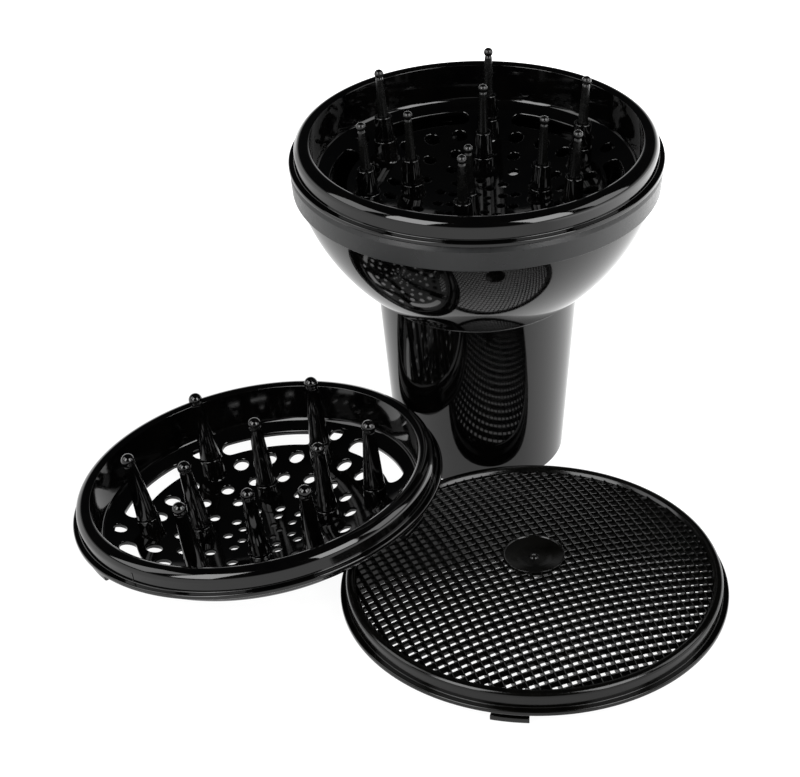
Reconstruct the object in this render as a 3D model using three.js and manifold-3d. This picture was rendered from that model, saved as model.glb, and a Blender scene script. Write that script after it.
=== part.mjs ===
// A universal hair dryer diffuser set, in millimetres with +Z up.
// A bell stands on the mouth of its tapered neck, and a lock ring on its rim holds one of three heads.
// The pin head is fitted. The mesh head lies flat beside the neck, and the cone head leans on its rim.
// The group's origin is the middle of the whole set's footprint, on the surface that it stands on.
import * as THREE from "three";
import { mergeVertices } from "three/addons/utils/BufferGeometryUtils.js";
import Module from "manifold-3d";

const wasm = await Module();
wasm.setup();

// ---- Driving dimensions ----

const GAP = 0.3; // clearance between pieces that touch
const BITE = 0.4; // how far joined solids reach into each other
const ROUND = 36; // sides of the large turned pieces

// Neck and bell: radius at height, with the bell's wall on one arc.
const NECK_FOOT_R = 35.25;
const NECK_TOP_R = 40.7;
const NECK_TOP_Z = 78;
const NECK_EDGE = 1.6;
const SHELL_WALL = 2;
const MOUTH_BORE_R = 32.9;
const MOUTH_SEAT_Z = 3;
const BELL_ARC_R = 88.65;
const BELL_ARC_CENTRE = { r: -13.4, z: 148 };
const BELL_SHOULDER_Z = 123.6;
const BELL_RIM_R = 70.2;
const BELL_RIM_BORE_R = 68.4;
const BELL_RIM_Z = 127.5;

// Lock ring: a band around the bell's rim, with lugs that hold a head's tabs.
const RING_FOOT = { r: 73.5, z: BELL_SHOULDER_Z + 0.4 };
const RING_SHOULDER = { r: 74.2, z: 132.2 };
const RING_TOP = { r: 73.4, z: 134.2 };
const RING_GROOVE_R = 72.75;
const RING_LEDGE = { r: 69.4, low: BELL_RIM_Z + 0.4, high: BELL_RIM_Z + 1.2 };
const LUG = { r: 71, low: 131.9, spread: 16 };
const STOP = { r: 71, high: 131.4, from: -8.2, to: -6.2 };

// The rim that every head shares, with heights in the head's own frame.
const HEAD_Z = 141.7; // where the fitted head's own frame stands
const FLANGE_R = 74.6;
const FLANGE_LOW = -7.2;
const FLANGE_HIGH = -5.2;
const BEAD_R = 68.4;
const BEAD_ROUND = 3.9;
const BEAD_Z = -1.16;
const LIP = { r: 66.2, z: 2.05 };
const TAB_COUNT = 3;
const TAB_SPREAD = 11.4;
const TAB_STEM = { inner: 69, outer: 70.6 };
const TAB_LIP = { outer: 72.4, high: FLANGE_LOW - 3 };
const TAB_LOW = FLANGE_LOW - 5.5;
const TAB_FIRST = 30; // degrees from the first finger

// The dished floor of the pin and cone heads.
const FLOOR_EDGE = { r: 64.4, drop: 13.1 };
const FLOOR_ARC_R = 150;
const FLOOR_WALL = 2;
const SLOT = { inner: 52, outer: 58.6, spread: 41 };
const EDGE_HOLES = { radius: 58.4, count: 6, size: 2.9, sides: 8 };
const HOLE_RINGS = [
  { radius: 45.5, count: 24, size: 3.1, sides: 6 },
  { radius: 34.6, count: 18, size: 2.6, sides: 6 },
];

// Fingers: an outer ring of six and an inner ring of four, which splay outwards by a few degrees.
const FINGER_RINGS = [
  { radius: 45.5, count: 6, splay: 4.4, base: -12.2, sleeveTop: -2, pinTip: 18.1, coneTip: 17.7 },
  { radius: 25.5, count: 4, splay: 2.5, base: -19.3, sleeveTop: -8.9, pinTip: 11.7, coneTip: 10.7 },
];
const BASE_R = 4.7;
const BASE_BORE_R = 3;
const PEG_R = BASE_BORE_R - GAP;
const PEG_LIFT = 1.6; // from the floor's underside, which slopes across the bore
const SLEEVE = { foot: 4.35, top: 3.5, bore: 2.45, depth: 9 };
const PIN = { foot: 2.1, neck: 1.65, ball: 1.9 };
const CONE = { foot: 4.35, tip: 2.8 };

// The mesh head: a shallow dome of square mesh round a smooth disc.
const DOME_RISE = 9.2;
const DOME_R = 68.4;
const DOME_EDGE_Z = 0.1;
const DOME_WALL = 1.7;
const DOME_SIDES = 24;
const MESH_PITCH = 7.5; // every second opening of the real mesh in each direction
const MESH_OPENING = 3.6;
const MESH_OUTER_R = 66.5;
const DISC_R = 11.8;
const MESH_RIM = { round: 2, z: -0.8 };

// Grip inside the neck: a rubber sleeve with fins that close on a dryer's nozzle.
const GRIP = { low: MOUTH_SEAT_Z + GAP, high: 44, wall: 2.2, fins: 12, reach: 24, finThick: 1.6 };
const RETAINER = { low: 0.4, high: MOUTH_SEAT_Z - GAP, bore: 28 };

// Where the pieces stand, from the bell's axis.
const PIN_HEAD_TURN = 82;
const MESH_HEAD = { x: 17.3, y: -112.8, z: -TAB_LOW, turn: 110 };
const CONE_HEAD = { x: -91.27, y: -67.89, z: 30.46, turn: 180.5, leanX: -0.1271, leanY: 0.0579 };

// ---- Materials ----

const glossBlack = new THREE.MeshStandardMaterial({ color: 0x0b0b0c, roughness: 0.12, metalness: 0 });
const satinCharcoal = new THREE.MeshStandardMaterial({ color: 0x2a2b2c, roughness: 0.35, metalness: 0 });
const satinBlack = new THREE.MeshStandardMaterial({ color: 0x121213, roughness: 0.4, metalness: 0 });
const softRubber = new THREE.MeshStandardMaterial({ color: 0x1b1b1b, roughness: 0.8, metalness: 0 });

// ---- Solids ----

const radians = THREE.MathUtils.degToRad;

// A closed geometry as a manifold-3d solid.
function solidOf(geometry) {
  const bare = geometry.index ? geometry.toNonIndexed() : geometry.clone();
  bare.deleteAttribute("normal");
  bare.deleteAttribute("uv");
  const merged = mergeVertices(bare, 1e-3);
  return new wasm.Manifold(
    new wasm.Mesh({
      numProp: 3,
      vertProperties: merged.attributes.position.array,
      triVerts: new Uint32Array(merged.index.array),
    }),
  );
}

// A manifold-3d solid as a geometry for a mesh.
function geometryOf(solid) {
  const mesh = solid.getMesh();
  const geometry = new THREE.BufferGeometry();
  geometry.setAttribute("position", new THREE.BufferAttribute(mesh.vertProperties, 3));
  geometry.setIndex(new THREE.BufferAttribute(mesh.triVerts, 1));
  geometry.computeVertexNormals();
  return geometry;
}

const joined = (solids) => solids.reduce((whole, solid) => whole.add(solid));
const cut = (solid, tools) => tools.reduce((left, tool) => left.subtract(tool), solid);

// A turned solid about Z from [radius, height] points, given upwards along the outside.
function turned(points, sides = ROUND) {
  const profile = points.map(([r, z]) => new THREE.Vector2(r, z));
  return solidOf(new THREE.LatheGeometry(profile, sides).rotateX(Math.PI / 2));
}

// A turned solid whose profile closes on itself, clear of the axis.
const turnedRing = (points, sides = ROUND) => turned([...points, points[0]], sides);

// A block bent round Z: radii, heights and angles in degrees.
function arcBlock(inner, outer, low, high, from, to, steps = 3) {
  const shape = new THREE.Shape();
  shape.absarc(0, 0, outer, radians(from), radians(to), false);
  shape.absarc(0, 0, inner, radians(to), radians(from), true);
  shape.closePath();
  const geometry = new THREE.ExtrudeGeometry(shape, {
    depth: high - low,
    bevelEnabled: false,
    curveSegments: steps,
  });
  return solidOf(geometry.translate(0, 0, low));
}

// A round bar along Z, moved to its place by a matrix.
function bar(matrix, radius, low, high, sides) {
  const geometry = new THREE.CylinderGeometry(radius, radius, high - low, sides);
  geometry.rotateX(Math.PI / 2);
  geometry.translate(0, 0, (low + high) / 2);
  return solidOf(geometry.applyMatrix4(matrix));
}

function placeAt(radius, degrees) {
  return { x: radius * Math.cos(radians(degrees)), y: radius * Math.sin(radians(degrees)) };
}

// Points along an arc, from one angle to another, as [radius, height].
function arcPoints(centre, radius, from, to, steps) {
  return Array.from({ length: steps + 1 }, (_, i) => {
    const angle = radians(from + ((to - from) * i) / steps);
    return [centre.r + radius * Math.cos(angle), centre.z + radius * Math.sin(angle)];
  });
}

function named(name, solid, material) {
  const mesh = new THREE.Mesh(geometryOf(solid), material);
  mesh.name = name;
  return mesh;
}

// ---- Bell and neck ----

// The angle on the bell's arc, of the given radius, at a height.
function bellAngle(arcRadius, z) {
  return THREE.MathUtils.radToDeg(Math.asin((z - BELL_ARC_CENTRE.z) / arcRadius));
}

function neckRadius(z) {
  return NECK_FOOT_R + ((NECK_TOP_R - NECK_FOOT_R) * z) / NECK_TOP_Z;
}

function bellShell() {
  const innerArcR = BELL_ARC_R - SHELL_WALL;
  const rimBoreReach = BELL_RIM_BORE_R - BELL_ARC_CENTRE.r;
  const rimBoreZ = BELL_ARC_CENTRE.z - Math.sqrt(innerArcR ** 2 - rimBoreReach ** 2);
  const outside = arcPoints(
    BELL_ARC_CENTRE,
    BELL_ARC_R,
    bellAngle(BELL_ARC_R, NECK_TOP_Z),
    bellAngle(BELL_ARC_R, BELL_SHOULDER_Z),
    7,
  );
  const inside = arcPoints(
    BELL_ARC_CENTRE,
    innerArcR,
    bellAngle(innerArcR, rimBoreZ),
    bellAngle(innerArcR, NECK_TOP_Z + 0.9),
    5,
  );
  return turnedRing([
    [MOUTH_BORE_R, 0],
    [NECK_FOOT_R - NECK_EDGE * 0.8, 0],
    [neckRadius(NECK_EDGE * 0.3) - NECK_EDGE * 0.25, NECK_EDGE * 0.3],
    [neckRadius(NECK_EDGE), NECK_EDGE],
    ...outside,
    [BELL_RIM_R, BELL_SHOULDER_Z],
    [BELL_RIM_R, BELL_RIM_Z],
    [BELL_RIM_BORE_R, BELL_RIM_Z],
    ...inside,
    [neckRadius(MOUTH_SEAT_Z) - SHELL_WALL, MOUTH_SEAT_Z],
    [MOUTH_BORE_R, MOUTH_SEAT_Z],
  ]);
}

// ---- Lock ring ----

function lockRing() {
  const band = turnedRing([
    [BELL_RIM_R + BITE, RING_FOOT.z],
    [RING_FOOT.r, RING_FOOT.z],
    [RING_SHOULDER.r, RING_SHOULDER.z],
    [RING_TOP.r, RING_TOP.z],
    [RING_GROOVE_R, RING_TOP.z],
    [RING_GROOVE_R, RING_LEDGE.high],
    [RING_LEDGE.r, RING_LEDGE.high],
    [RING_LEDGE.r, RING_LEDGE.low],
    [BELL_RIM_R + BITE, RING_LEDGE.low],
  ]);
  const grips = [];
  for (let i = 0; i < TAB_COUNT; i += 1) {
    const middle = PIN_HEAD_TURN + TAB_FIRST + (i * 360) / TAB_COUNT;
    const half = LUG.spread / 2;
    const outer = RING_GROOVE_R + BITE;
    grips.push(arcBlock(LUG.r, outer, LUG.low, RING_TOP.z, middle - half, middle + half));
    grips.push(
      arcBlock(STOP.r, outer, RING_LEDGE.high - BITE, STOP.high, middle + STOP.from, middle + STOP.to, 1),
    );
  }
  return joined([band, ...grips]);
}

// ---- What the three heads share ----

// The outside of a head's flange, from its underside to the foot of the wall above it.
function flangeOutline(undersideR) {
  return [
    [undersideR, FLANGE_LOW],
    [FLANGE_R - 0.4, FLANGE_LOW],
    [FLANGE_R, FLANGE_LOW + 0.5],
    [FLANGE_R, FLANGE_HIGH - 0.5],
    [FLANGE_R - 0.4, FLANGE_HIGH],
    [BEAD_R + BEAD_ROUND, FLANGE_HIGH],
  ];
}

function tabs() {
  const solids = [];
  for (let i = 0; i < TAB_COUNT; i += 1) {
    const middle = TAB_FIRST + (i * 360) / TAB_COUNT;
    const from = middle - TAB_SPREAD / 2;
    const to = middle + TAB_SPREAD / 2;
    solids.push(arcBlock(TAB_STEM.inner, TAB_STEM.outer, TAB_LOW, FLANGE_LOW + BITE, from, to));
    solids.push(arcBlock(TAB_STEM.outer - BITE, TAB_LIP.outer, TAB_LOW, TAB_LIP.high, from, to));
  }
  return solids;
}

// ---- The dished plate of the pin and cone heads ----

// Height of the floor's upper face.
function floorZ(r) {
  return -FLOOR_EDGE.drop - (FLOOR_EDGE.r ** 2 - r ** 2) / (2 * FLOOR_ARC_R);
}

// Where the fingers stand, with the sizes of the ring that each one is on.
// Each is splayed by a turn about its place on the floor.
function fingerPlaces() {
  return FINGER_RINGS.flatMap((ring) =>
    Array.from({ length: ring.count }, (_, i) => {
      const angle = (i * 360) / ring.count;
      const place = placeAt(ring.radius, angle);
      const pivot = floorZ(ring.radius);
      const matrix = new THREE.Matrix4()
        .makeTranslation(place.x, place.y, pivot)
        .multiply(new THREE.Matrix4().makeRotationZ(radians(angle)))
        .multiply(new THREE.Matrix4().makeRotationY(radians(ring.splay)))
        .multiply(new THREE.Matrix4().makeTranslation(0, 0, -pivot));
      return { ...ring, place, matrix, footZ: pivot - FLOOR_WALL };
    }),
  );
}

function dishedPlate() {
  const under = [0, 24, 44, 62.5].map((r) => [r, floorZ(r) - FLOOR_WALL]);
  const floor = [FLOOR_EDGE.r, 44, 24, 0].map((r) => [r, floorZ(r)]);
  const bead = arcPoints({ r: BEAD_R, z: BEAD_Z }, BEAD_ROUND, 0, 115, 4);
  const body = turned([...under, [66.4, -13.6], ...flangeOutline(68.6), ...bead, [LIP.r, LIP.z], ...floor]);
  const aboveFloor = turned([...under, [62.5, 0], [0, 0]]);
  const bases = fingerPlaces().map((f) => bar(f.matrix, BASE_R, f.footZ - 2, f.base, 8).intersect(aboveFloor));
  return cut(joined([body, ...tabs(), ...bases]), plateOpenings());
}

// Everything that is cut through the floor: bores for the fingers, arc slots and the holes between them.
function plateOpenings() {
  const low = floorZ(0) - FLOOR_WALL - 1;
  const high = floorZ(FLOOR_EDGE.r) + 1;
  const fingers = fingerPlaces();
  const tools = fingers.map((f) => bar(f.matrix, BASE_BORE_R, f.footZ - 2, f.base + 1, 8));
  for (let i = 0; i < 6; i += 1) {
    const from = 30 + i * 60 - SLOT.spread / 2;
    tools.push(arcBlock(SLOT.inner, SLOT.outer, low, high, from, from + SLOT.spread, 4));
  }
  for (const ring of [EDGE_HOLES, ...HOLE_RINGS]) {
    for (let i = 0; i < ring.count; i += 1) {
      const place = placeAt(ring.radius, (i * 360) / ring.count);
      const reach = BASE_R + ring.size;
      const onFinger = fingers.some((f) => Math.hypot(f.place.x - place.x, f.place.y - place.y) < reach);
      const matrix = new THREE.Matrix4().makeTranslation(place.x, place.y, 0);
      if (!onFinger) tools.push(bar(matrix, ring.size, low, high, ring.sides));
    }
  }
  return tools;
}

// ---- Fingers ----

function peg(finger) {
  return [
    [0, finger.footZ + PEG_LIFT],
    [PEG_R, finger.footZ + PEG_LIFT],
    [PEG_R, finger.base + GAP],
  ];
}

// The stub that a pin stands in.
function pinSleeve(finger) {
  return turned(
    [
      ...peg(finger),
      [SLEEVE.foot, finger.base + GAP],
      [SLEEVE.foot - 0.3, finger.base + 1.4],
      [SLEEVE.top, finger.sleeveTop],
      [SLEEVE.bore, finger.sleeveTop],
      [SLEEVE.bore, finger.sleeveTop - SLEEVE.depth],
      [0, finger.sleeveTop - SLEEVE.depth],
    ],
    8,
  );
}

function pin(finger) {
  const ball = { r: 0, z: finger.pinTip - PIN.ball };
  return turned(
    [
      [0, finger.sleeveTop - SLEEVE.depth + GAP],
      [PIN.foot, finger.sleeveTop - SLEEVE.depth + GAP],
      [PIN.foot, finger.sleeveTop],
      [PIN.neck, ball.z - PIN.ball],
      ...arcPoints(ball, PIN.ball, -45, 90, 3),
    ],
    8,
  );
}

function cone(finger) {
  const tip = { r: 0, z: finger.coneTip - CONE.tip };
  return turned(
    [
      ...peg(finger),
      [CONE.foot, finger.base + GAP],
      [CONE.foot, finger.base + 1.2],
      ...arcPoints(tip, CONE.tip, 0, 90, 3),
    ],
    8,
  );
}

// ---- The mesh head ----

function domeZ(r) {
  return DOME_EDGE_Z + DOME_RISE * (1 - (r / DOME_R) ** 2);
}

// Square openings on a grid, kept off the disc and the rim.
function meshOpenings() {
  const holes = [];
  const inner = DISC_R + MESH_OPENING / 2;
  const outer = MESH_OUTER_R - MESH_OPENING / 2;
  const reach = Math.floor(MESH_OUTER_R / MESH_PITCH);
  for (let i = -reach; i <= reach; i += 1) {
    for (let j = -reach; j <= reach; j += 1) {
      const x = i * MESH_PITCH;
      const y = j * MESH_PITCH;
      const distance = Math.hypot(x, y);
      if (distance < inner || distance > outer) continue;
      holes.push(solidOf(new THREE.BoxGeometry(MESH_OPENING, MESH_OPENING, 36).translate(x, y, 0)));
    }
  }
  return joined(holes);
}

// The mesh head's wall has a small round top instead of the bead.
function meshHead() {
  const wallR = BEAD_R + BEAD_ROUND;
  const rim = turnedRing([
    ...flangeOutline(66.8),
    ...arcPoints({ r: wallR - MESH_RIM.round, z: MESH_RIM.z }, MESH_RIM.round, 0, 135, 4),
    [DOME_R - 0.4, DOME_EDGE_Z - 0.3],
    [DOME_R - 0.4, DOME_EDGE_Z - DOME_WALL],
  ]);
  const steps = [0, DISC_R, 38, DOME_R];
  const top = steps.toReversed().map((r) => [r, domeZ(r)]);
  const under = steps.slice(0, -1).map((r) => [r, domeZ(r) - DOME_WALL]);
  const edge = [
    [DOME_R + BITE, DOME_EDGE_Z - DOME_WALL],
    [DOME_R + BITE, DOME_EDGE_Z],
  ];
  const dome = turned([...under, ...edge, ...top.slice(1)], DOME_SIDES);
  return joined([dome.subtract(meshOpenings()), rim, ...tabs()]);
}

// ---- Grip in the neck ----

function nozzleGrip() {
  const outer = (z) => neckRadius(z) - SHELL_WALL - GAP;
  const sleeve = turnedRing(
    [
      [outer(GRIP.low) - GRIP.wall, GRIP.low],
      [outer(GRIP.low), GRIP.low],
      [outer(GRIP.high), GRIP.high],
      [outer(GRIP.high) - GRIP.wall, GRIP.high],
    ],
    36,
  );
  const depth = outer(GRIP.low) - GRIP.wall + BITE - GRIP.reach;
  const fins = Array.from({ length: GRIP.fins }, (_, i) => {
    const fin = new THREE.BoxGeometry(depth, GRIP.finThick, GRIP.high - GRIP.low - 4);
    fin.translate(GRIP.reach + depth / 2, 0, (GRIP.high + GRIP.low) / 2 - 1);
    return solidOf(fin.rotateZ((i * 2 * Math.PI) / GRIP.fins));
  });
  return joined([sleeve, ...fins]);
}

function gripRetainer() {
  const outer = MOUTH_BORE_R - GAP;
  return turnedRing(
    [
      [RETAINER.bore + 0.6, RETAINER.low],
      [outer - 0.4, RETAINER.low],
      [outer, RETAINER.low + 0.4],
      [outer, RETAINER.high],
      [RETAINER.bore, RETAINER.high],
      [RETAINER.bore, RETAINER.low + 0.6],
    ],
    36,
  );
}

// ---- Assembly ----

// A group that stands a head at its place, turned about its own axis and then leaned.
function headGroup({ x, y, z, turn, leanX = 0, leanY = 0 }) {
  const group = new THREE.Group();
  const normal = new THREE.Vector3(leanX, leanY, Math.sqrt(1 - leanX ** 2 - leanY ** 2));
  const lean = new THREE.Quaternion().setFromUnitVectors(new THREE.Vector3(0, 0, 1), normal);
  const spin = new THREE.Quaternion().setFromAxisAngle(new THREE.Vector3(0, 0, 1), radians(turn));
  group.quaternion.copy(lean).multiply(spin);
  group.position.set(x, y, z);
  return group;
}

// One mesh for each finger, in its place on the head.
function addFingers(group, name, make, material) {
  fingerPlaces().forEach((finger, i) => {
    const mesh = named(`${name}_${i + 1}`, make(finger), material);
    mesh.applyMatrix4(finger.matrix);
    group.add(mesh);
  });
}

const plate = dishedPlate();

const bell = new THREE.Group();
bell.add(named("bell_shell", bellShell(), glossBlack));
bell.add(named("lock_ring", lockRing(), satinCharcoal));
bell.add(named("nozzle_grip", nozzleGrip(), softRubber));
bell.add(named("grip_retainer", gripRetainer(), satinBlack));

const pinHead = headGroup({ x: 0, y: 0, z: HEAD_Z, turn: PIN_HEAD_TURN });
pinHead.add(named("pin_head_plate", plate, glossBlack));
addFingers(pinHead, "pin_sleeve", pinSleeve, glossBlack);
addFingers(pinHead, "pin", pin, satinBlack);

const coneHead = headGroup(CONE_HEAD);
coneHead.add(named("cone_head_plate", plate, glossBlack));
addFingers(coneHead, "cone_finger", cone, glossBlack);

const flatHead = headGroup(MESH_HEAD);
flatHead.add(named("mesh_head", meshHead(), satinBlack));

const set = new THREE.Group();
set.add(bell, pinHead, coneHead, flatHead);

const box = new THREE.Box3().setFromObject(set, true);
set.position.set(-(box.min.x + box.max.x) / 2, -(box.min.y + box.max.y) / 2, -box.min.z);

export default set;
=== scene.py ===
"""A universal hair dryer diffuser set: a bell with its lock ring and fitted pin head, and two loose heads.

Sizes are in millimetres, as the part's are, and become metres when a piece is made.
A head's own frame has its origin inside its rim, near the top, with the first finger on +X.
"""

import math

import bpy
from mathutils import Matrix, Vector
from mathutils.geometry import delaunay_2d_cdt


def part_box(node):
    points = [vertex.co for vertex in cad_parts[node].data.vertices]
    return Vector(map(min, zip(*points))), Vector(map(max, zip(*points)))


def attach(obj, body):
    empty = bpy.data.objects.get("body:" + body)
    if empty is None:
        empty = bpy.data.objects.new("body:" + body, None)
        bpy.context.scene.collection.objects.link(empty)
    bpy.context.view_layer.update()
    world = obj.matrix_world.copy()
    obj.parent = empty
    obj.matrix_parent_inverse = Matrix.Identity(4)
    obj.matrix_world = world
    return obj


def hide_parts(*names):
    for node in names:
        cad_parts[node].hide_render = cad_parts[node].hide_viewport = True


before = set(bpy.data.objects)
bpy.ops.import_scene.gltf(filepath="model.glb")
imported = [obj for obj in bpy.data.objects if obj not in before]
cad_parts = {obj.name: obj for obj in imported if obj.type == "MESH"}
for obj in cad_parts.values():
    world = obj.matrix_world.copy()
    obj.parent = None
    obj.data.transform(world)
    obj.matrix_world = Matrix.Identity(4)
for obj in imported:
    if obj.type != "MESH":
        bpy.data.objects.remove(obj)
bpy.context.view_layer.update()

# ---- Sizes ----

MM = 0.001
SIDES = 192  # steps round a large turned piece
DISC_SIDES = 96
FINGER_SIDES = 48
HOLE_SIDES = 28
EDGE = 0.4  # the small rounding on moulded edges
CORNER = EDGE * (1 - math.sqrt(0.5))  # how far the middle of that rounding stands from the corner
FILLET_STEP = 20  # degrees between the points of a rounded corner
FILLET_SHARE = 0.45  # the most of a side that a rounded corner may take
SHARP = 38  # degrees between two faces that meet in a hard edge

NECK_FOOT_R = 35.25
NECK_TOP_R = 40.7
NECK_TOP_Z = 78
SHELL_WALL = 2
MOUTH_BORE_R = 32.9
MOUTH_SEAT_Z = 3
BELL_ARC_R = 88.65
BELL_ARC_CENTRE = (-13.4, 148)
BELL_SHOULDER_Z = 123.6
BELL_RIM_R = 70.2
BELL_RIM_BORE_R = 68.4
BELL_RIM_Z = 127.5

RING_FOOT = (73.5, 124)
RING_SHOULDER = (74.2, 132.2)
RING_TOP = (73.4, 134.2)
RING_GROOVE_R = 72.75
RING_LEDGE_R = 69.4
RING_LEDGE_LOW = BELL_RIM_Z + 0.4
RING_LEDGE_HIGH = BELL_RIM_Z + 1.2
LUG_R = 71
LUG_LOW = 131.9
LUG_SPREAD = 16
STOP_HIGH = 131.4
STOP_FROM = -8.2
STOP_TO = -6.2

FLANGE_R = 74.6
FLANGE_LOW = -7.2
FLANGE_HIGH = -5.2
BEAD_R = 68.4
BEAD_ROUND = 3.9
BEAD_Z = -1.16
LIP = (66.2, 2.05)
TAB_COUNT = 3
TAB_FIRST = 30
TAB_SPREAD = 11.4
TAB_LOW = FLANGE_LOW - 5.5
TAB_STEM = (69, 70.6)
TAB_LIP = (72.4, FLANGE_LOW - 3)
TICK_AT = TAB_FIRST + 22
TICK_HALF = 0.3  # degrees
TICK_TOP = -1
TICK_DEPTH = 0.3
TICK_STAND = 0.2

FLOOR_EDGE = (64.4, -13.1)
FLOOR_ARC_R = 150
FLOOR_WALL = 2
FLOOR_STEP = 3  # between the points inside the floor
SKIRT = (66.4, -13.6)  # the outer corner under the floor
SKIRT_FOOT_R = 62.5
SKIRT_ROUND = 3
PLATE_UNDERSIDE_R = 68.6
BORDER_R = 60.5  # where the pierced floor meets the turned rim
SLOT_R = 55.35
SLOT_HALF = 3.3
SLOT_SPREAD = 34.4  # between the centres of a slot's round ends
HOLE_RINGS = (
    # radius, count, first angle, hole radius
    (58.4, 6, 0, 2.9),
    (45.5, 24, 0, 3.1),
    (34.6, 18, 0, 2.6),
    (25.5, 12, 0, 2.2),
    (16, 10, 0, 1.95),
    (11, 8, 22.5, 1.75),
    (5, 6, 0, 1.2),
)

# The fingers splay outwards by a few degrees about their places on the floor.
OUTER_FINGERS = dict(
    radius=45.5,
    count=6,
    splay=4.4,
    base=-12.2,
    sleeve_top=-2,
    pin_tip=18.1,
    cone_tip=17.7,
)
INNER_FINGERS = dict(
    radius=25.5,
    count=4,
    splay=2.5,
    base=-19.3,
    sleeve_top=-8.9,
    pin_tip=11.7,
    cone_tip=10.7,
)
BASE_R = 4.7
BASE_BORE_R = 3
BASE_FILLET = 0.9
# How far a base's outline grows from BASE_R and rises from the floor: at its foot, and under the floor.
BOSS_FOOT = ((0.26, 0.26), (0, BASE_FILLET))
BORE_FOOT = ((BASE_BORE_R - BASE_R, EDGE - 2), (BASE_BORE_R - BASE_R + EDGE, -2))
PEG_R = 2.7
PEG_LIFT = 1.6
GAP = 0.3
SLEEVE_FOOT_R = 4.35
SLEEVE_TOP_R = 3.5
SLEEVE_BORE_R = 2.45
SLEEVE_DEPTH = 9
PIN_FOOT_R = 2.1
PIN_NECK_R = 1.65
PIN_BALL_R = 1.9
CONE_FOOT_R = 4.35
CONE_TIP_R = 2.8
CONE_NECK_R = 2.5

DOME_RISE = 9.2
DOME_R = 68.4
DOME_EDGE_Z = 0.1
MESH_PITCH = 3.75
MESH_INNER_R = 11.2
MESH_OUTER_R = 69
MESH_UNDERSIDE_R = 66.8
MESH_RIM_ROUND = 2
MESH_RIM_Z = -0.8
RIB_STEP = 4  # the longest stretch of a rib between two sections
RIB_FOOT = -3.05
RIB_HALF = 0.54
BAR_HALF = 0.5
# Half of each crest, as (distance from the middle, height from the dome's face), towards the middle.
RIB_CREST = ((0.3, -0.42), (0.24, -0.16), (0.12, -0.03), (0, 0))
BAR_CREST = ((0.36, -0.82), (0.14, -0.55))
DISC_R = 11.8

GRIP_LOW = MOUTH_SEAT_Z + GAP
GRIP_HIGH = 44
GRIP_WALL = 2.2
GRIP_FINS = 12
GRIP_REACH = 24
GRIP_FIN = 1.6
RETAINER_LOW = 0.4
RETAINER_BORE_R = 28

# Where each head stands: x, y and z from the foot of the bell's axis, its turn, and the way it leans.
HEAD_Z = 141.7
PIN_HEAD = dict(x=0, y=0, z=HEAD_Z, turn=82)
MESH_HEAD = dict(x=17.3, y=-112.8, z=-TAB_LOW, turn=110)
CONE_HEAD = dict(x=-91.27, y=-67.89, z=30.46, turn=180.5, lean=(-0.1271, 0.0579))


# ---- Outlines ----


def arc(centre, radius, start, end, steps):
    """Points along an arc, between two angles in degrees."""
    points = []
    for i in range(steps + 1):
        angle = math.radians(start + (end - start) * i / steps)
        points.append((centre[0] + radius * math.cos(angle), centre[1] + radius * math.sin(angle)))
    return points


def rounded(corners, closed=False):
    """An outline with its corners rounded. A corner is (radius, height) and, if it is rounded, its fillet."""
    outline = []
    for i, corner in enumerate(corners):
        here = Vector(corner[:2])
        at_end = not closed and i in (0, len(corners) - 1)
        if len(corner) < 3 or at_end:
            outline.append(tuple(here))
            continue
        before = Vector(corners[i - 1][:2]) - here
        after = Vector(corners[(i + 1) % len(corners)][:2]) - here
        half = before.angle(after) / 2
        reach = min(corner[2] / math.tan(half), FILLET_SHARE * before.length, FILLET_SHARE * after.length)
        outline += fillet(here, before.normalized(), after.normalized(), half, reach)
    return outline


def fillet(corner, before, after, half, reach):
    """The points that round a corner, from `reach` before it to `reach` after it."""
    centre = corner + (before + after).normalized() * reach / math.cos(half)
    start = corner + before * reach - centre
    end = corner + after * reach - centre
    turning = math.pi - 2 * half
    steps = max(2, math.ceil(turning / math.radians(FILLET_STEP)))
    points = []
    for i in range(steps + 1):
        along = i / steps
        share = (math.sin((1 - along) * turning), math.sin(along * turning))
        points.append(tuple(centre + (start * share[0] + end * share[1]) / math.sin(turning)))
    return points


def ring_points(radius, sides, centre=(0, 0)):
    """Points round a circle, in the plane."""
    angles = [2 * math.pi * i / sides for i in range(sides)]
    return [(centre[0] + radius * math.cos(a), centre[1] + radius * math.sin(a)) for a in angles]


def polar(radius, degrees):
    return radius * math.cos(math.radians(degrees)), radius * math.sin(math.radians(degrees))


# ---- Meshes ----


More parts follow.
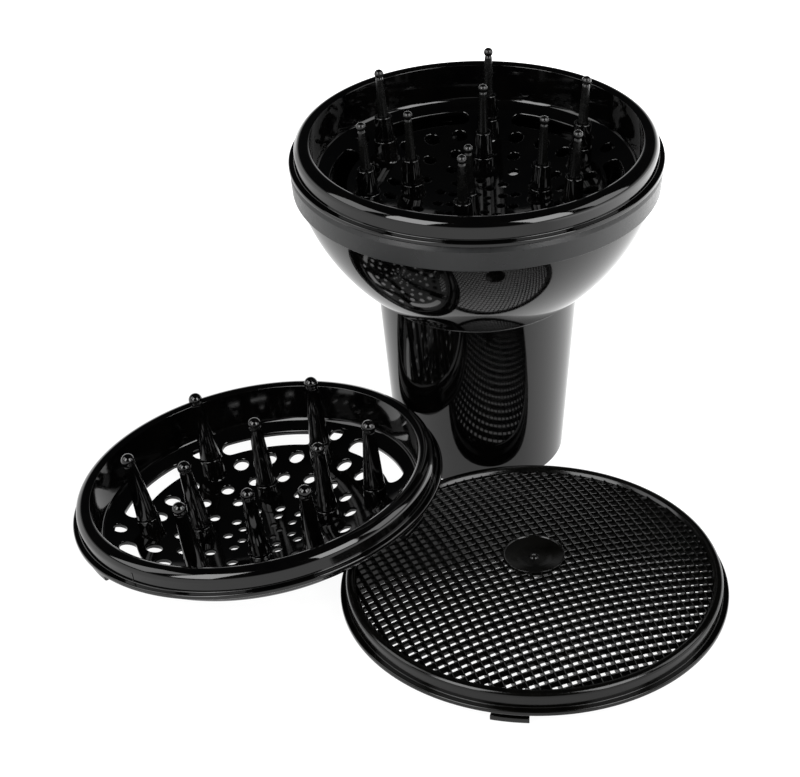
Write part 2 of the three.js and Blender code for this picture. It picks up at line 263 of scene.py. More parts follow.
class Shell:
    """The points, in millimetres, and the faces of one piece."""

    def __init__(self):
        self.points = []
        self.faces = []

    def loop(self, points):
        start = len(self.points)
        self.points.extend(points)
        return list(range(start, len(self.points)))

    def tube(self, loops, closed=False):
        """Joins loops that follow each other. A loop of one point is a pole."""
        following = loops[1:] + loops[:1] if closed else loops[1:]
        for low, high in zip(loops, following):
            count = max(len(low), len(high))
            for i in range(count):
                j = (i + 1) % count
                if len(low) == 1:
                    self.faces.append((low[0], high[j], high[i]))
                elif len(high) == 1:
                    self.faces.append((low[i], low[j], high[0]))
                else:
                    self.faces.append((low[i], low[j], high[j], high[i]))

    def turn(self, outline, sides=SIDES, closed=False):
        """Turns an outline of (radius, height) about Z. It runs upwards along the outside."""
        loops = []
        for radius, height in outline:
            if radius < 1e-6:
                loops.append(self.loop([(0, 0, height)]))
            else:
                loops.append(self.loop([(x, y, height) for x, y in ring_points(radius, sides)]))
        self.tube(loops, closed)

    def sweep(self, section, start, end, steps=8):
        """Sweeps a section of (radius, height) round Z between two angles, and closes both ends."""
        rows = []
        for i in range(steps + 1):
            angle = start + (end - start) * i / steps
            rows.append(self.loop([(*polar(radius, angle), height) for radius, height in section]))
        self.skin(rows)

    def skin(self, rows):
        """Covers the space between equal sections that follow each other, and closes both ends."""
        for here, there in zip(rows, rows[1:]):
            for i in range(len(here)):
                j = (i + 1) % len(here)
                self.faces.append((here[i], there[i], there[j], here[j]))
        self.faces.append(tuple(rows[0]))
        self.faces.append(tuple(reversed(rows[-1])))

    def mesh(self, name):
        mesh = bpy.data.meshes.new(name)
        mesh.from_pydata([Vector(p) * MM for p in self.points], [], self.faces)
        mesh.update()
        mesh.shade_smooth()
        mesh.set_sharp_from_angle(angle=math.radians(SHARP))
        return mesh


# ---- Where the pieces stand ----


def centre_of(node):
    low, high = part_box(node)
    return (low + high) / 2


BELL_AXIS = Vector((centre_of("bell_shell").x, centre_of("bell_shell").y, 0))


def stand(x=0, y=0, z=0, turn=0, lean=(0, 0)):
    """The matrix that stands a piece at its place, turned about its own axis and then leaned."""
    normal = Vector((*lean, math.sqrt(1 - lean[0] ** 2 - lean[1] ** 2)))
    leaned = Vector((0, 0, 1)).rotation_difference(normal).to_matrix().to_4x4()
    place = Matrix.Translation(BELL_AXIS + Vector((x, y, z)) * MM)
    return place @ leaned @ Matrix.Rotation(math.radians(turn), 4, "Z")


def piece(name, mesh, material, slot, place, body, *nodes):
    """Makes a piece of the object that rides on a body and stands for the CAD nodes."""
    own = mesh.copy()
    own.transform(place)
    own.materials.append(material)
    made = bpy.data.objects.new(name, own)
    bpy.context.scene.collection.objects.link(made)
    if not own.has_custom_normals:
        weighted = made.modifiers.new("weighted_normals", "WEIGHTED_NORMAL")
        weighted.keep_sharp = True
    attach(made, body)
    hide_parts(*nodes)


# ---- Materials ----


PLASTIC_IOR = 1.5


def nodes_of(name):
    """A new material, its nodes and links, its shader, and the piece's own coordinates."""
    material = bpy.data.materials.new(name)
    material.use_nodes = True
    tree = material.node_tree
    shader = tree.nodes["Principled BSDF"]
    coordinates = tree.nodes.new("ShaderNodeTexCoord")
    return material, tree, shader, coordinates.outputs["Object"]


def noise(tree, coordinates, scale, detail=3, low=0.0, high=1.0):
    """Noise that runs between two values, with `scale` waves in a metre."""
    texture = tree.nodes.new("ShaderNodeTexNoise")
    texture.inputs["Scale"].default_value = scale
    texture.inputs["Detail"].default_value = detail
    tree.links.new(coordinates, texture.inputs["Vector"])
    spread = tree.nodes.new("ShaderNodeMapRange")
    spread.inputs["From Min"].default_value = 0.3
    spread.inputs["From Max"].default_value = 0.7
    spread.inputs["To Min"].default_value = low
    spread.inputs["To Max"].default_value = high
    tree.links.new(texture.outputs["Fac"], spread.inputs["Value"])
    return spread.outputs["Result"]


def bump(tree, height, distance, under=None):
    """A bump of a height, in metres, on top of another bump."""
    node = tree.nodes.new("ShaderNodeBump")
    node.inputs["Distance"].default_value = distance
    tree.links.new(height, node.inputs["Height"])
    if under is not None:
        tree.links.new(under, node.inputs["Normal"])
    return node.outputs["Normal"]


def mixed_colour(tree, factor, first, second):
    """A colour between two others."""
    mix = tree.nodes.new("ShaderNodeMix")
    mix.data_type = "RGBA"
    mix.inputs["A"].default_value = (*first, 1)
    mix.inputs["B"].default_value = (*second, 1)
    tree.links.new(factor, mix.inputs["Factor"])
    return mix.outputs["Result"]


def gloss_black():
    """Polished black plastic: deep, with the faint flow waves of a moulding and a little haze."""
    material, tree, shader, place = nodes_of("gloss_black")
    tint = mixed_colour(tree, noise(tree, place, 90), (0.0004, 0.0004, 0.0005), (0.0011, 0.0010, 0.0009))
    tree.links.new(tint, shader.inputs["Base Color"])
    tree.links.new(noise(tree, place, 420, 5, 0.035, 0.085), shader.inputs["Roughness"])
    waves = bump(tree, noise(tree, place, 38, 1), 0.00002)
    tree.links.new(bump(tree, noise(tree, place, 2600, 2), 0.0000006, waves), shader.inputs["Normal"])
    shader.inputs["IOR"].default_value = PLASTIC_IOR
    return material


def satin_charcoal():
    """The lock ring's plastic: a fine even grain that spreads the light into a soft gradient."""
    material, tree, shader, place = nodes_of("satin_charcoal")
    tint = mixed_colour(tree, noise(tree, place, 140), (0.0030, 0.0034, 0.0036), (0.0050, 0.0054, 0.0058))
    tree.links.new(tint, shader.inputs["Base Color"])
    tree.links.new(noise(tree, place, 700, 4, 0.27, 0.36), shader.inputs["Roughness"])
    grain = bump(tree, noise(tree, place, 3200, 4), 0.000008)
    tree.links.new(grain, shader.inputs["Normal"])
    shader.inputs["IOR"].default_value = PLASTIC_IOR
    return material


def satin_black():
    """Satin black plastic with a slightly uneven sheen, on the pins and the ring in the mouth."""
    material, tree, shader, place = nodes_of("satin_black")
    tint = mixed_colour(tree, noise(tree, place, 160), (0.0010, 0.0010, 0.0010), (0.0022, 0.0022, 0.0020))
    tree.links.new(tint, shader.inputs["Base Color"])
    tree.links.new(noise(tree, place, 500, 4, 0.2, 0.3), shader.inputs["Roughness"])
    grain = bump(tree, noise(tree, place, 2400, 3), 0.000004)
    tree.links.new(grain, shader.inputs["Normal"])
    shader.inputs["IOR"].default_value = PLASTIC_IOR
    return material


def mesh_black():
    """The mesh head's plastic: less polished than the bell's, and it mirrors less."""
    material, tree, shader, place = nodes_of("mesh_black")
    tint = mixed_colour(tree, noise(tree, place, 150), (0.0006, 0.0006, 0.0005), (0.0016, 0.0015, 0.0012))
    tree.links.new(tint, shader.inputs["Base Color"])
    tree.links.new(noise(tree, place, 450, 4, 0.11, 0.18), shader.inputs["Roughness"])
    waves = bump(tree, noise(tree, place, 60, 1), 0.00001)
    tree.links.new(bump(tree, noise(tree, place, 2400, 3), 0.000002, waves), shader.inputs["Normal"])
    shader.inputs["IOR"].default_value = PLASTIC_IOR
    shader.inputs["Specular IOR Level"].default_value = 0.36
    return material


def soft_rubber():
    """The grip's rubber: matt, with a bloom that shows as paler clouds."""
    material, tree, shader, place = nodes_of("soft_rubber")
    bloom = mixed_colour(tree, noise(tree, place, 120, 5), (0.010, 0.010, 0.010), (0.022, 0.022, 0.021))
    tree.links.new(bloom, shader.inputs["Base Color"])
    tree.links.new(noise(tree, place, 300, 4, 0.6, 0.8), shader.inputs["Roughness"])
    skin = bump(tree, noise(tree, place, 1500, 5), 0.00003)
    tree.links.new(skin, shader.inputs["Normal"])
    return material


GLOSS_BLACK = gloss_black()
SATIN_CHARCOAL = satin_charcoal()
SATIN_BLACK = satin_black()
MESH_BLACK = mesh_black()
SOFT_RUBBER = soft_rubber()


# ---- Bell, lock ring and grip ----


def neck_radius(z):
    return NECK_FOOT_R + (NECK_TOP_R - NECK_FOOT_R) * z / NECK_TOP_Z


def bell_angle(arc_radius, z):
    """The angle, in degrees, at which an arc about the bell's centre reaches a height."""
    return math.degrees(math.asin((z - BELL_ARC_CENTRE[1]) / arc_radius))


def bell():
    """The neck and the bell in one even wall, open at both ends."""
    inner_arc = BELL_ARC_R - SHELL_WALL
    bore_z = BELL_ARC_CENTRE[1] - math.sqrt(inner_arc**2 - (BELL_RIM_BORE_R - BELL_ARC_CENTRE[0]) ** 2)
    outer_span = (bell_angle(BELL_ARC_R, NECK_TOP_Z), bell_angle(BELL_ARC_R, BELL_SHOULDER_Z))
    outside = arc(BELL_ARC_CENTRE, BELL_ARC_R, *outer_span, 26)
    inner_span = (bell_angle(inner_arc, bore_z), bell_angle(inner_arc, NECK_TOP_Z + 0.9))
    inside = arc(BELL_ARC_CENTRE, inner_arc, *inner_span, 20)
    corners = [
        (MOUTH_BORE_R, 0, EDGE),
        (NECK_FOOT_R, 0, 1.5),
        (*outside[0], 1),
        *outside[1:-1],
        (*outside[-1], 0.3),
        (BELL_RIM_R, BELL_SHOULDER_Z),
        (BELL_RIM_R, BELL_RIM_Z, EDGE),
        (BELL_RIM_BORE_R, BELL_RIM_Z, EDGE),
        *inside,
        (neck_radius(MOUTH_SEAT_Z) - SHELL_WALL, MOUTH_SEAT_Z),
        (MOUTH_BORE_R, MOUTH_SEAT_Z, EDGE),
    ]
    shell = Shell()
    shell.turn(rounded(corners, closed=True), closed=True)
    return shell.mesh("bell")


def lock_ring():
    """The band round the bell's rim, with the lugs and stops that hold the head's tabs."""
    shell = Shell()
    corners = [
        (BELL_RIM_R + EDGE, RING_FOOT[1], 0.3),
        (*RING_FOOT, 0.35),
        (*RING_SHOULDER, 1),
        (*RING_TOP, 0.3),
        (RING_GROOVE_R, RING_TOP[1], 0.2),
        (RING_GROOVE_R, RING_LEDGE_HIGH),
        (RING_LEDGE_R, RING_LEDGE_HIGH, 0.3),
        (RING_LEDGE_R, RING_LEDGE_LOW, 0.3),
        (BELL_RIM_R + EDGE, RING_LEDGE_LOW),
    ]
    shell.turn(rounded(corners, closed=True), closed=True)
    outer = RING_GROOVE_R + EDGE
    lug_high = RING_TOP[1] - 0.1
    stop_low = RING_LEDGE_HIGH - EDGE
    for i in range(TAB_COUNT):
        middle = PIN_HEAD["turn"] + TAB_FIRST + i * 360 / TAB_COUNT
        lug = [(LUG_R, LUG_LOW, 0.3), (outer, LUG_LOW), (outer, lug_high), (LUG_R, lug_high, 0.3)]
        shell.sweep(rounded(lug, closed=True), middle - LUG_SPREAD / 2, middle + LUG_SPREAD / 2)
        stop = [(LUG_R, stop_low), (outer, stop_low), (outer, STOP_HIGH), (LUG_R, STOP_HIGH, 0.3)]
        shell.sweep(rounded(stop, closed=True), middle + STOP_FROM, middle + STOP_TO, 3)
    return shell.mesh("lock_ring")


def grip():
    """A rubber sleeve with fins that close on a dryer's nozzle."""
    shell = Shell()

    def outer(z):
        return neck_radius(z) - SHELL_WALL - GAP

    corners = [
        (outer(GRIP_LOW) - GRIP_WALL, GRIP_LOW, 0.5),
        (outer(GRIP_LOW), GRIP_LOW, 0.5),
        (outer(GRIP_HIGH), GRIP_HIGH, 0.5),
        (outer(GRIP_HIGH) - GRIP_WALL, GRIP_HIGH, 0.5),
    ]
    shell.turn(rounded(corners, closed=True), closed=True)
    low = GRIP_LOW + 1
    high = GRIP_HIGH - 3
    root = outer(low) - GRIP_WALL + EDGE
    half = GRIP_FIN / 2
    tip = [(GRIP_REACH + half + x, y) for x, y in arc((0, 0), half, 90, 270, 8)]
    across = [(root, -half), (root, half), *tip]
    for i in range(GRIP_FINS):
        turned = Matrix.Rotation(2 * math.pi * i / GRIP_FINS, 3, "Z")
        rows = [shell.loop([turned @ Vector((x, y, z)) for x, y in across]) for z in (high, low)]
        shell.skin(rows)
    return shell.mesh("grip")


def retainer():
    """The ring in the neck's mouth that keeps the grip in."""
    shell = Shell()
    outer = MOUTH_BORE_R - GAP
    high = MOUTH_SEAT_Z - GAP
    corners = [
        (RETAINER_BORE_R, RETAINER_LOW, 0.6),
        (outer, RETAINER_LOW, 0.4),
        (outer, high, 0.2),
        (RETAINER_BORE_R, high, 0.3),
    ]
    shell.turn(rounded(corners, closed=True), closed=True)
    return shell.mesh("retainer")


# ---- What the three heads share ----


def flange_corners(underside_r):
    """The outside of a head's flange, from its underside to the foot of the wall above it."""
    return [
        (underside_r, FLANGE_LOW, EDGE),
        (FLANGE_R, FLANGE_LOW, 0.6),
        (FLANGE_R, FLANGE_HIGH, 0.6),
        (BEAD_R + BEAD_ROUND, FLANGE_HIGH, 0.4),
    ]


def add_tabs(shell):
    """Three hooked tabs under the flange, and the small gate mark on the bead's outside."""
    stem_in, stem_out = TAB_STEM
    lip_r, lip_high = TAB_LIP
    section = [
        (stem_in, TAB_LOW, EDGE),
        (lip_r, TAB_LOW, 0.8),
        (lip_r, lip_high, EDGE),
        (stem_out, lip_high, EDGE),
        (stem_out, FLANGE_LOW + EDGE),
        (stem_in, FLANGE_LOW + EDGE),
    ]
    for i in range(TAB_COUNT):
        middle = TAB_FIRST + i * 360 / TAB_COUNT
        shell.sweep(rounded(section, closed=True), middle - TAB_SPREAD / 2, middle + TAB_SPREAD / 2)
    wall = BEAD_R + BEAD_ROUND
    inner = wall - TICK_DEPTH
    outer = wall + TICK_STAND
    low = FLANGE_HIGH + 0.4
    tick = [(inner, low), (outer, low), (outer, TICK_TOP), (inner, TICK_TOP)]
    shell.sweep(tick, TICK_AT - TICK_HALF, TICK_AT + TICK_HALF, 2)


# ---- The dished plate of the pin and cone heads ----


def floor_z(r):
    """Height of the floor's upper face."""
    return FLOOR_EDGE[1] - (FLOOR_EDGE[0] ** 2 - r**2) / (2 * FLOOR_ARC_R)


class RoundHole:
    """A round opening or a round boss, in the plane."""

    def __init__(self, radius, degrees, size, sides=HOLE_SIDES):
        self.centre = polar(radius, degrees)
        self.size = size
        self.sides = sides

    def outline(self, grow):
        return ring_points(self.size + grow, self.sides, self.centre)

    def distance(self, x, y):
        return math.hypot(x - self.centre[0], y - self.centre[1]) - self.size


class ArcSlot:
    """A slot bent round the plate's centre, with round ends."""

    def __init__(self, degrees):
        self.degrees = degrees

    def outline(self, grow):
        half = SLOT_HALF + grow
        from_angle = self.degrees - SLOT_SPREAD / 2
        to_angle = self.degrees + SLOT_SPREAD / 2
        outer = arc((0, 0), SLOT_R + half, from_angle, to_angle, 26)
        far_end = arc(polar(SLOT_R, to_angle), half, to_angle, to_angle + 180, 14)
        inner = arc((0, 0), SLOT_R - half, to_angle, from_angle, 26)
        near_end = arc(polar(SLOT_R, from_angle), half, from_angle + 180, from_angle + 360, 14)
        return outer[:-1] + far_end[:-1] + inner[:-1] + near_end[:-1]

    def distance(self, x, y):
        away = (math.degrees(math.atan2(y, x)) - self.degrees + 180) % 360 - 180
        held = max(-SLOT_SPREAD / 2, min(SLOT_SPREAD / 2, away))
        nearest = polar(SLOT_R, self.degrees + held)
        return math.hypot(x - nearest[0], y - nearest[1]) - SLOT_HALF


def finger_places():
    """Each finger's ring and its angle."""
    places = []
    for ring in (OUTER_FINGERS, INNER_FINGERS):
        places += [(ring, i * 360 / ring["count"]) for i in range(ring["count"])]
    return places


def splayed(ring, angle):
    """The matrix, in millimetres, that stands a finger in its place and splays it outwards."""
    pivot = floor_z(ring["radius"])
    place = Matrix.Translation((*polar(ring["radius"], angle), pivot))
    splay = Matrix.Rotation(math.radians(ring["splay"]), 4, "Y")
    turned = Matrix.Rotation(math.radians(angle), 4, "Z") @ splay
    return place @ turned @ Matrix.Translation((0, 0, -pivot))


def plate_holes(bosses):
    """The holes and slots through the floor, but none where a finger stands."""
    holes = [ArcSlot(30 + 60 * i) for i in range(6)]
    for radius, count, first, size in HOLE_RINGS:
        for i in range(count):
            hole = RoundHole(radius, first + i * 360 / count, size)
            if all(boss.distance(*hole.centre) > size for boss in bosses):
                holes.append(hole)
    return holes


def floor_triangles(border, outlines, shapes):
    """Splits the floor, without its openings, into triangles. Gives its points, triangles and loops."""
    points = []
    edges = []
    loops = []
    for outline in [border, *outlines]:
        first = len(points)
        points += outline
        numbers = list(range(first, len(points)))
        edges += list(zip(numbers, numbers[1:] + numbers[:1]))
        loops.append(numbers)
    for ring in range(1, int(BORDER_R // FLOOR_STEP)):
        radius = ring * FLOOR_STEP
        for point in ring_points(radius, max(6, round(2 * math.pi * radius / FLOOR_STEP))):
            if all(shape.distance(*point) > grow + FLOOR_STEP / 2 for shape, grow in shapes):
                points.append(point)
    flat, _, faces, origins, _, _ = delaunay_2d_cdt([Vector(p) for p in points], edges, [], 0, 1e-5, True)
    number = {old: new for new, olds in enumerate(origins) for old in olds}
    kept = []
    for face in faces:
        x = sum(flat[i].x for i in face) / 3
        y = sum(flat[i].y for i in face) / 3
        if all(shape.distance(x, y) > grow for shape, grow in shapes):
            kept.append(face)
    return flat, kept, [[number[i] for i in loop] for loop in loops]


def dished_plate():
    """The floor with its openings and finger bases, inside the rim that the heads share."""
    shell = Shell()
    places = finger_places()
    bosses = [RoundHole(ring["radius"], angle, BASE_R, 40) for ring, angle in places]
    holes = plate_holes(bosses)
    shapes = [(hole, EDGE) for hole in holes] + [(boss, BASE_FILLET) for boss in bosses]
    border = ring_points(BORDER_R, SIDES)
    flat, faces, loops = floor_triangles(border, [shape.outline(grow) for shape, grow in shapes], shapes)

    def level(x, y, rise=0):
        return x, y, floor_z(math.hypot(x, y)) + rise

    top = shell.loop([level(p.x, p.y) for p in flat])
    under = shell.loop([level(p.x, p.y, -FLOOR_WALL) for p in flat])
    shell.faces += [tuple(top[i] for i in face) for face in faces]
    shell.faces += [tuple(under[i] for i in reversed(face)) for face in faces]

    for hole, loop in zip(holes, loops[1:]):
        rows = [[top[i] for i in loop]]
        for grow, drop in hole_edge():
            rows.append(shell.loop([level(x, y, -drop) for x, y in hole.outline(grow)]))
        shell.tube([*rows, [under[i] for i in loop]])

    for (ring, angle), boss, loop in zip(places, bosses, loops[1 + len(holes) :]):
        rows = [[top[i] for i in loop]]
        for grow, rise in BOSS_FOOT:
            rows.append(shell.loop([level(x, y, rise) for x, y in boss.outline(grow)]))
        for radius, height in collar_outline(ring):
            round_it = ring_points(radius, boss.sides)
            rows.append(shell.loop([splayed_point(ring, angle, x, y, height) for x, y in round_it]))
        for grow, rise in BORE_FOOT:
            rows.append(shell.loop([level(x, y, rise) for x, y in boss.outline(grow)]))
        shell.tube([*rows, [under[i] for i in loop]])

    corners = [
        (BORDER_R, floor_z(BORDER_R) - FLOOR_WALL),
        (SKIRT_FOOT_R, floor_z(SKIRT_FOOT_R) - FLOOR_WALL, SKIRT_ROUND),
        (*SKIRT, SKIRT_ROUND),
        *flange_corners(PLATE_UNDERSIDE_R),
        *arc((BEAD_R, BEAD_Z), BEAD_ROUND, 0, 120, 14),
        (*LIP, 0.25),
        (*FLOOR_EDGE, 2.5),
        (BORDER_R, floor_z(BORDER_R)),
    ]
    rim = [shell.loop([(x, y, z) for x, y in ring_points(r, SIDES)]) for r, z in rounded(corners)[1:-1]]
    shell.tube([[under[i] for i in loops[0]], *rim, [top[i] for i in loops[0]]])
    add_tabs(shell)
    mesh = shell.mesh("dished_plate")
    smooth_floor(mesh)
    return mesh


def hole_edge():
    """How far a hole's outline grows and drops, down from its rounded upper edge to its lower one."""
    return [
        (CORNER, CORNER),
        (0, EDGE),
        (0, FLOOR_WALL - EDGE),
        (CORNER, FLOOR_WALL - CORNER),
    ]


def splayed_point(ring, angle, x, y, height):
    """A point beside a finger's axis. Its direction round the axis is the head's, not the turned finger's."""
    unturned = Matrix.Rotation(-math.radians(angle), 4, "Z") @ Vector((x, y, height))
    return splayed(ring, angle) @ unturned


def collar_outline(ring):
    """A finger's base, as (radius, height) from its outer edge over its top and into its bore."""
    corners = [
        (BASE_R, ring["base"] - 2),
        (BASE_R, ring["base"], EDGE),
        (BASE_BORE_R, ring["base"], EDGE),
        (BASE_BORE_R, ring["base"] - 2),
    ]
    return rounded(corners)


def smooth_floor(mesh):
    """Gives the floor's two faces the true normals of their curve, so that they mirror cleanly."""
    normals = [Vector(corner.vector) for corner in mesh.corner_normals]
    for polygon in mesh.polygons:
        for corner in polygon.loop_indices:
            point = mesh.vertices[mesh.loops[corner].vertex_index].co / MM
            radius = math.hypot(point.x, point.y)
            if radius > BORDER_R + 0.01:
                continue
            slope = Vector((-point.x / FLOOR_ARC_R, -point.y / FLOOR_ARC_R, 1)).normalized()
            if abs(point.z - floor_z(radius)) < 1e-3:
                normals[corner] = slope
            elif abs(point.z - floor_z(radius) + FLOOR_WALL) < 1e-3:
                normals[corner] = -slope
    mesh.normals_split_custom_set(normals)


# ---- Fingers ----


def peg(ring):
    """The stub under a finger, which stands in the base's bore."""
    foot = floor_z(ring["radius"]) - FLOOR_WALL + PEG_LIFT
    return [(0, foot), (PEG_R, foot, 0.3), (PEG_R, ring["base"] + GAP)]


def sleeve(ring):
    """The tapered stub that a pin stands in."""
    shell = Shell()
    base = ring["base"] + GAP
    top = ring["sleeve_top"]
    corners = [
        *peg(ring),
        (SLEEVE_FOOT_R, base, 0.4),
        (SLEEVE_FOOT_R - 0.3, base + 1.1, 0.6),
        (SLEEVE_TOP_R, top, 0.45),
        (SLEEVE_BORE_R, top, 0.45),
        (SLEEVE_BORE_R, top - SLEEVE_DEPTH),
        (0, top - SLEEVE_DEPTH),
    ]
    shell.turn(rounded(corners), FINGER_SIDES)
    return shell.mesh("sleeve")


def pin(ring):
    """A thin rod with a ball at its tip."""
    shell = Shell()
    ball = (0, ring["pin_tip"] - PIN_BALL_R)
    foot = ring["sleeve_top"] - SLEEVE_DEPTH + GAP
    corners = [
        (0, foot),
        (PIN_FOOT_R, foot, 0.2),
        (PIN_FOOT_R, ring["sleeve_top"] - 1),
        (PIN_NECK_R - 0.1, ball[1] - 2.2, 0.8),
        *arc(ball, PIN_BALL_R, -48, 85, 12),
        (0, ring["pin_tip"]),
    ]
    shell.turn(rounded(corners), FINGER_SIDES)
    return shell.mesh("pin")


def cone(ring):
    """A stout tapering finger with a rounded tip over a slight neck."""
    shell = Shell()
    tip = (0, ring["cone_tip"] - CONE_TIP_R)
    base = ring["base"] + GAP
    corners = [
        *peg(ring),
        (CONE_FOOT_R, base, 0.4),
        (CONE_FOOT_R - 0.15, base + 1.2, 0.5),
        (CONE_NECK_R, tip[1] - 2.2, 1.2),
        *arc(tip, CONE_TIP_R, -32, 86, 12),
        (0, ring["cone_tip"]),
    ]
    shell.turn(rounded(corners), FINGER_SIDES)
    return shell.mesh("cone")


# ---- The mesh head ----


def dome_z(r):
    """Height of the dome's face."""
    return DOME_EDGE_Z + DOME_RISE * (1 - (r / DOME_R) ** 2)


def mesh_spans(offset):
    """The stretches of a rib at a distance from the middle: one, or two where the disc stands between."""
    end = math.sqrt(MESH_OUTER_R**2 - offset**2)
    if abs(offset) >= MESH_INNER_R:
        return [(-end, end)]
    start = math.sqrt(MESH_INNER_R**2 - offset**2)
    return [(-end, -start), (start, end)]


def rib_section(half, crest):
    """A rib's section, from the left of its foot round to the left of its crest."""
    mirrored = [(-side, drop) for side, drop in reversed(crest) if side > 0]
    return [(-half, RIB_FOOT), (half, RIB_FOOT), *crest, *mirrored]


def add_ribs(shell, section, along_x):
    """Parallel ribs that follow the dome, along the head's X or Y."""
    reach = int(MESH_OUTER_R / MESH_PITCH)
    for i in range(-reach, reach):
        offset = (i + 0.5) * MESH_PITCH
        for start, end in mesh_spans(offset):
            steps = max(2, math.ceil((end - start) / RIB_STEP))
            rows = []
            for k in range(steps + 1):
                along = start + (end - start) * k / steps
                crest = dome_z(math.hypot(along, offset))
                row = []
                for side, drop in section:
                    across = offset + side
                    x, y = (along, across) if along_x else (across, along)
                    row.append((x, y, crest + drop))
                rows.append(shell.loop(row))
            shell.skin(rows if not along_x else rows[::-1])


def mesh_head():
    """A shallow dome of square mesh between a small rim and a smooth middle disc."""
    shell = Shell()
    wall_r = BEAD_R + BEAD_ROUND
    corners = [
        *flange_corners(MESH_UNDERSIDE_R),
        *arc((wall_r - MESH_RIM_ROUND, MESH_RIM_Z), MESH_RIM_ROUND, 0, 140, 12),
        (DOME_R - 0.3, DOME_EDGE_Z - 0.4, 0.2),
        (DOME_R - 0.3, DOME_EDGE_Z - 3.2),
    ]
    shell.turn(rounded(corners, closed=True), closed=True)
    add_tabs(shell)
    add_ribs(shell, rib_section(RIB_HALF, RIB_CREST), True)
    add_ribs(shell, rib_section(BAR_HALF, BAR_CREST), False)
    crown = dome_z(DISC_R)
    disc = [
        (0, crown - 2.6),
        (DISC_R - 0.6, crown - 2.6, 0.4),
        (DISC_R, crown - 1, 0.4),
        (DISC_R, crown + 0.5, 0.18),
        (DISC_R - 0.4, crown + 0.5, 0.18),
        (DISC_R - 0.6, crown + 0.1, 0.3),
        (6, crown - 0.75, 20),
        (1.9, crown - 0.9, 0.4),
        (1.6, crown - 0.3, 0.3),
        (0.9, crown - 0.3, 0.3),
        (0.6, crown - 0.8, 0.2),
        (0, crown - 0.8),
    ]
    shell.turn(rounded(disc), DISC_SIDES)
    return shell.mesh("mesh_plate")


# ---- The object ----


def build_bell():
    upright = stand()
    piece("bell", bell(), GLOSS_BLACK, "gloss_black", upright, "bell_body", "bell_shell")
    piece("grip_sleeve", grip(), SOFT_RUBBER, "soft_rubber", upright, "bell_body", "nozzle_grip")
    piece("mouth_ring", retainer(), SATIN_BLACK, "satin_black", upright, "bell_body", "grip_retainer")
    piece("rim_band", lock_ring(), SATIN_CHARCOAL, "satin_charcoal", upright, "ring_body", "lock_ring")


def build_fingers(name, node, make, material, slot, head, body):
    """One piece for each finger, with one mesh for each of the two rings."""
    meshes = {}
    for i, (ring, angle) in enumerate(finger_places(), start=1):
        radius = ring["radius"]
        if radius not in meshes:
            meshes[radius] = make(ring)
        place = splayed(ring, angle)
        place.translation *= MM
        piece(f"{name}_{i}", meshes[radius], material, slot, head @ place, body, f"{node}_{i}")


def build_heads():
    plate = dished_plate()
    pin_head = stand(**PIN_HEAD)
    piece("pin_plate", plate, GLOSS_BLACK, "gloss_black", pin_head, "pin_head_body", "pin_head_plate")
    build_fingers("stub", "pin_sleeve", sleeve, GLOSS_BLACK, "gloss_black", pin_head, "pin_head_body")
    build_fingers("rod", "pin", pin, SATIN_BLACK, "satin_black", pin_head, "pin_head_body")
    cone_head = stand(**CONE_HEAD)
    piece("cone_plate", plate, GLOSS_BLACK, "gloss_black", cone_head, "cone_head_body", "cone_head_plate")
    build_fingers("cone", "cone_finger", cone, GLOSS_BLACK, "gloss_black", cone_head, "cone_head_body")
    flat_head = stand(**MESH_HEAD)
    piece("mesh_plate", mesh_head(), MESH_BLACK, "satin_black", flat_head, "mesh_head_body", "mesh_head")


build_bell()
build_heads()


# ---- Floor, light and camera ----


def emissive(name, colour, strength, albedo):
    """A surface that glows evenly, with a share of diffuse white for faint shadows."""
    material = bpy.data.materials.new(name)
    material.use_nodes = True
    shader = material.node_tree.nodes["Principled BSDF"]
    shader.inputs["Base Color"].default_value = (albedo, albedo, albedo, 1)
    shader.inputs["Roughness"].default_value = 1
    shader.inputs["Specular IOR Level"].default_value = 0
    shader.inputs["Emission Color"].default_value = (*colour, 1)
    shader.inputs["Emission Strength"].default_value = strength
    return material


STAGE_SIDES = 64
FLOOR_R = 6000
FLOOR_DROP = 0.3
SHADE_DROP = 0.1
FLOOR_ALBEDO = 0.12
GLOW_TOWARDS = (0.8, 0.6, 0)
GLOW_REACH = 0.35
GLOW_NEAR = 0.95
GLOW_FAR = 2.6


def stage_disc(name, radius, drop, material):
    """A flat disc about the bell's axis, a little under the part."""
    shell = Shell()
    shell.faces.append(tuple(shell.loop([(x, y, 0) for x, y in ring_points(radius, STAGE_SIDES)])))
    disc = bpy.data.objects.new(name, shell.mesh(name))
    bpy.context.scene.collection.objects.link(disc)
    disc.location = BELL_AXIS + Vector((0, 0, -drop * MM))
    disc.data.materials.append(material)
    return disc


def build_floor():
    """A white floor that glows evenly in front of the part, and more behind it and to its right."""
    material = emissive("floor", (1, 1, 1), 1, FLOOR_ALBEDO)
    tree = material.node_tree
    place = tree.nodes.new("ShaderNodeTexCoord")
    away = tree.nodes.new("ShaderNodeVectorMath")
    away.operation = "DOT_PRODUCT"
    away.inputs[1].default_value = GLOW_TOWARDS
    glow = tree.nodes.new("ShaderNodeMapRange")
    glow.inputs["From Min"].default_value = 0
    glow.inputs["From Max"].default_value = GLOW_REACH
    glow.inputs["To Min"].default_value = GLOW_NEAR
    glow.inputs["To Max"].default_value = GLOW_FAR
    tree.links.new(place.outputs["Object"], away.inputs[0])
    tree.links.new(away.outputs["Value"], glow.inputs["Value"])
    tree.links.new(glow.outputs["Result"], tree.nodes["Principled BSDF"].inputs["Emission Strength"])
    floor = stage_disc("floor", FLOOR_R, FLOOR_DROP, material)


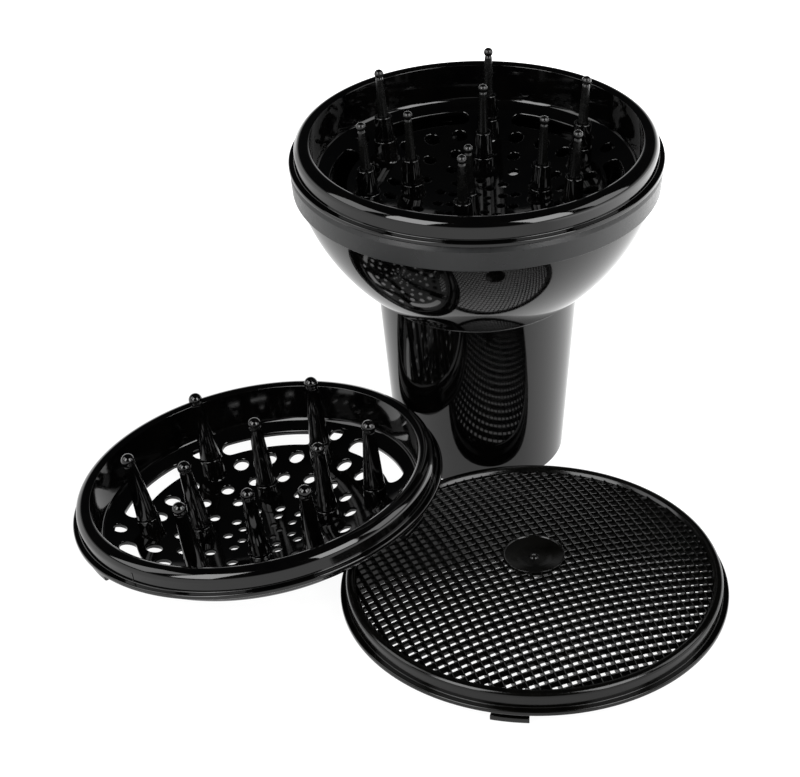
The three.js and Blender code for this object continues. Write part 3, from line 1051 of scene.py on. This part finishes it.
def build_neck_shade():
    """The floor inside the neck, which no light reaches."""
    material = emissive("neck_shade", (0, 0, 0), 0, 0.01)
    shade = stage_disc("neck_shade", MOUTH_BORE_R, SHADE_DROP, material)


LIGHT_AIM = (0, 0, 0.1)
FRONT_RADIANCE = 7
SIDE_RADIANCE = 3


def softbox(name, place, aim, width, height, radiance):
    """An area light at a place, in metres from the foot of the bell's axis, that faces another one."""
    light = bpy.data.lights.new(name, "AREA")
    light.shape = "RECTANGLE"
    light.size = width
    light.size_y = height
    light.energy = radiance * math.pi * width * height
    made = bpy.data.objects.new(name, light)
    bpy.context.scene.collection.objects.link(made)
    made.location = BELL_AXIS + Vector(place)
    made.rotation_euler = (Vector(aim) - Vector(place)).to_track_quat("-Z", "Y").to_euler()


def build_lights():
    """Tall panels in front and to the sides, with the dark of the camera's place between them."""
    for name, side in (("left", -1), ("right", 1)):
        softbox(f"{name}_front", (side * 1.0, -1.05, 1.1), LIGHT_AIM, 0.8, 1.3, FRONT_RADIANCE)
        softbox(f"{name}_side", (side * 1.5, -0.1, 1.0), LIGHT_AIM, 0.9, 1.1, SIDE_RADIANCE)


# Where the world's pale level ends and its dark begins, as the upward part of a direction, and both colours.
PALE_TO = 0.05
PALE = (1.2, 1.2, 1.2, 1)
DARK_FROM = 0.26
DARK = (0.015, 0.016, 0.017, 1)


def build_world():
    """Dark overhead and pale at the level of the floor."""
    world = bpy.data.worlds.new("studio")
    bpy.context.scene.world = world
    world.use_nodes = True
    tree = world.node_tree
    direction = tree.nodes.new("ShaderNodeTexCoord")
    parts = tree.nodes.new("ShaderNodeSeparateXYZ")
    ramp = tree.nodes.new("ShaderNodeValToRGB")
    tree.links.new(direction.outputs["Generated"], parts.inputs["Vector"])
    tree.links.new(parts.outputs["Z"], ramp.inputs["Fac"])
    tree.links.new(ramp.outputs["Color"], tree.nodes["Background"].inputs["Color"])
    ramp.color_ramp.elements[0].position = PALE_TO
    ramp.color_ramp.elements[0].color = PALE
    ramp.color_ramp.elements[1].position = DARK_FROM
    ramp.color_ramp.elements[1].color = DARK


# The camera, from the foot of the bell's axis in millimetres and radians.
CAMERA_PLACE = (-21.32, -794.58, 538.33)
CAMERA_PITCH = 0.5727
CAMERA_YAW = -0.0152
CAMERA_ROLL = -0.0342
CAMERA_LENS = 100.43
SENSOR = 36


def build_camera():
    """The camera, at its place and turned by its three angles."""
    data = bpy.data.cameras.new("camera")
    data.sensor_width = SENSOR
    data.lens = CAMERA_LENS
    data.clip_start = 0.01
    camera = bpy.data.objects.new("camera", data)
    bpy.context.scene.collection.objects.link(camera)
    flat = math.cos(CAMERA_PITCH)
    forward = Vector((math.sin(CAMERA_YAW) * flat, math.cos(CAMERA_YAW) * flat, -math.sin(CAMERA_PITCH)))
    right = Vector((math.cos(CAMERA_YAW), -math.sin(CAMERA_YAW), 0))
    up = right.cross(forward)
    rolled_right = math.cos(CAMERA_ROLL) * right + math.sin(CAMERA_ROLL) * up
    rolled_up = -math.sin(CAMERA_ROLL) * right + math.cos(CAMERA_ROLL) * up
    turned = Matrix((rolled_right, rolled_up, -forward)).transposed().to_4x4()
    camera.matrix_world = Matrix.Translation(BELL_AXIS + Vector(CAMERA_PLACE) * MM) @ turned
    bpy.context.scene.camera = camera


build_floor()
build_neck_shade()
build_lights()
build_world()
build_camera()
bpy.context.scene.view_settings.view_transform = "Standard"
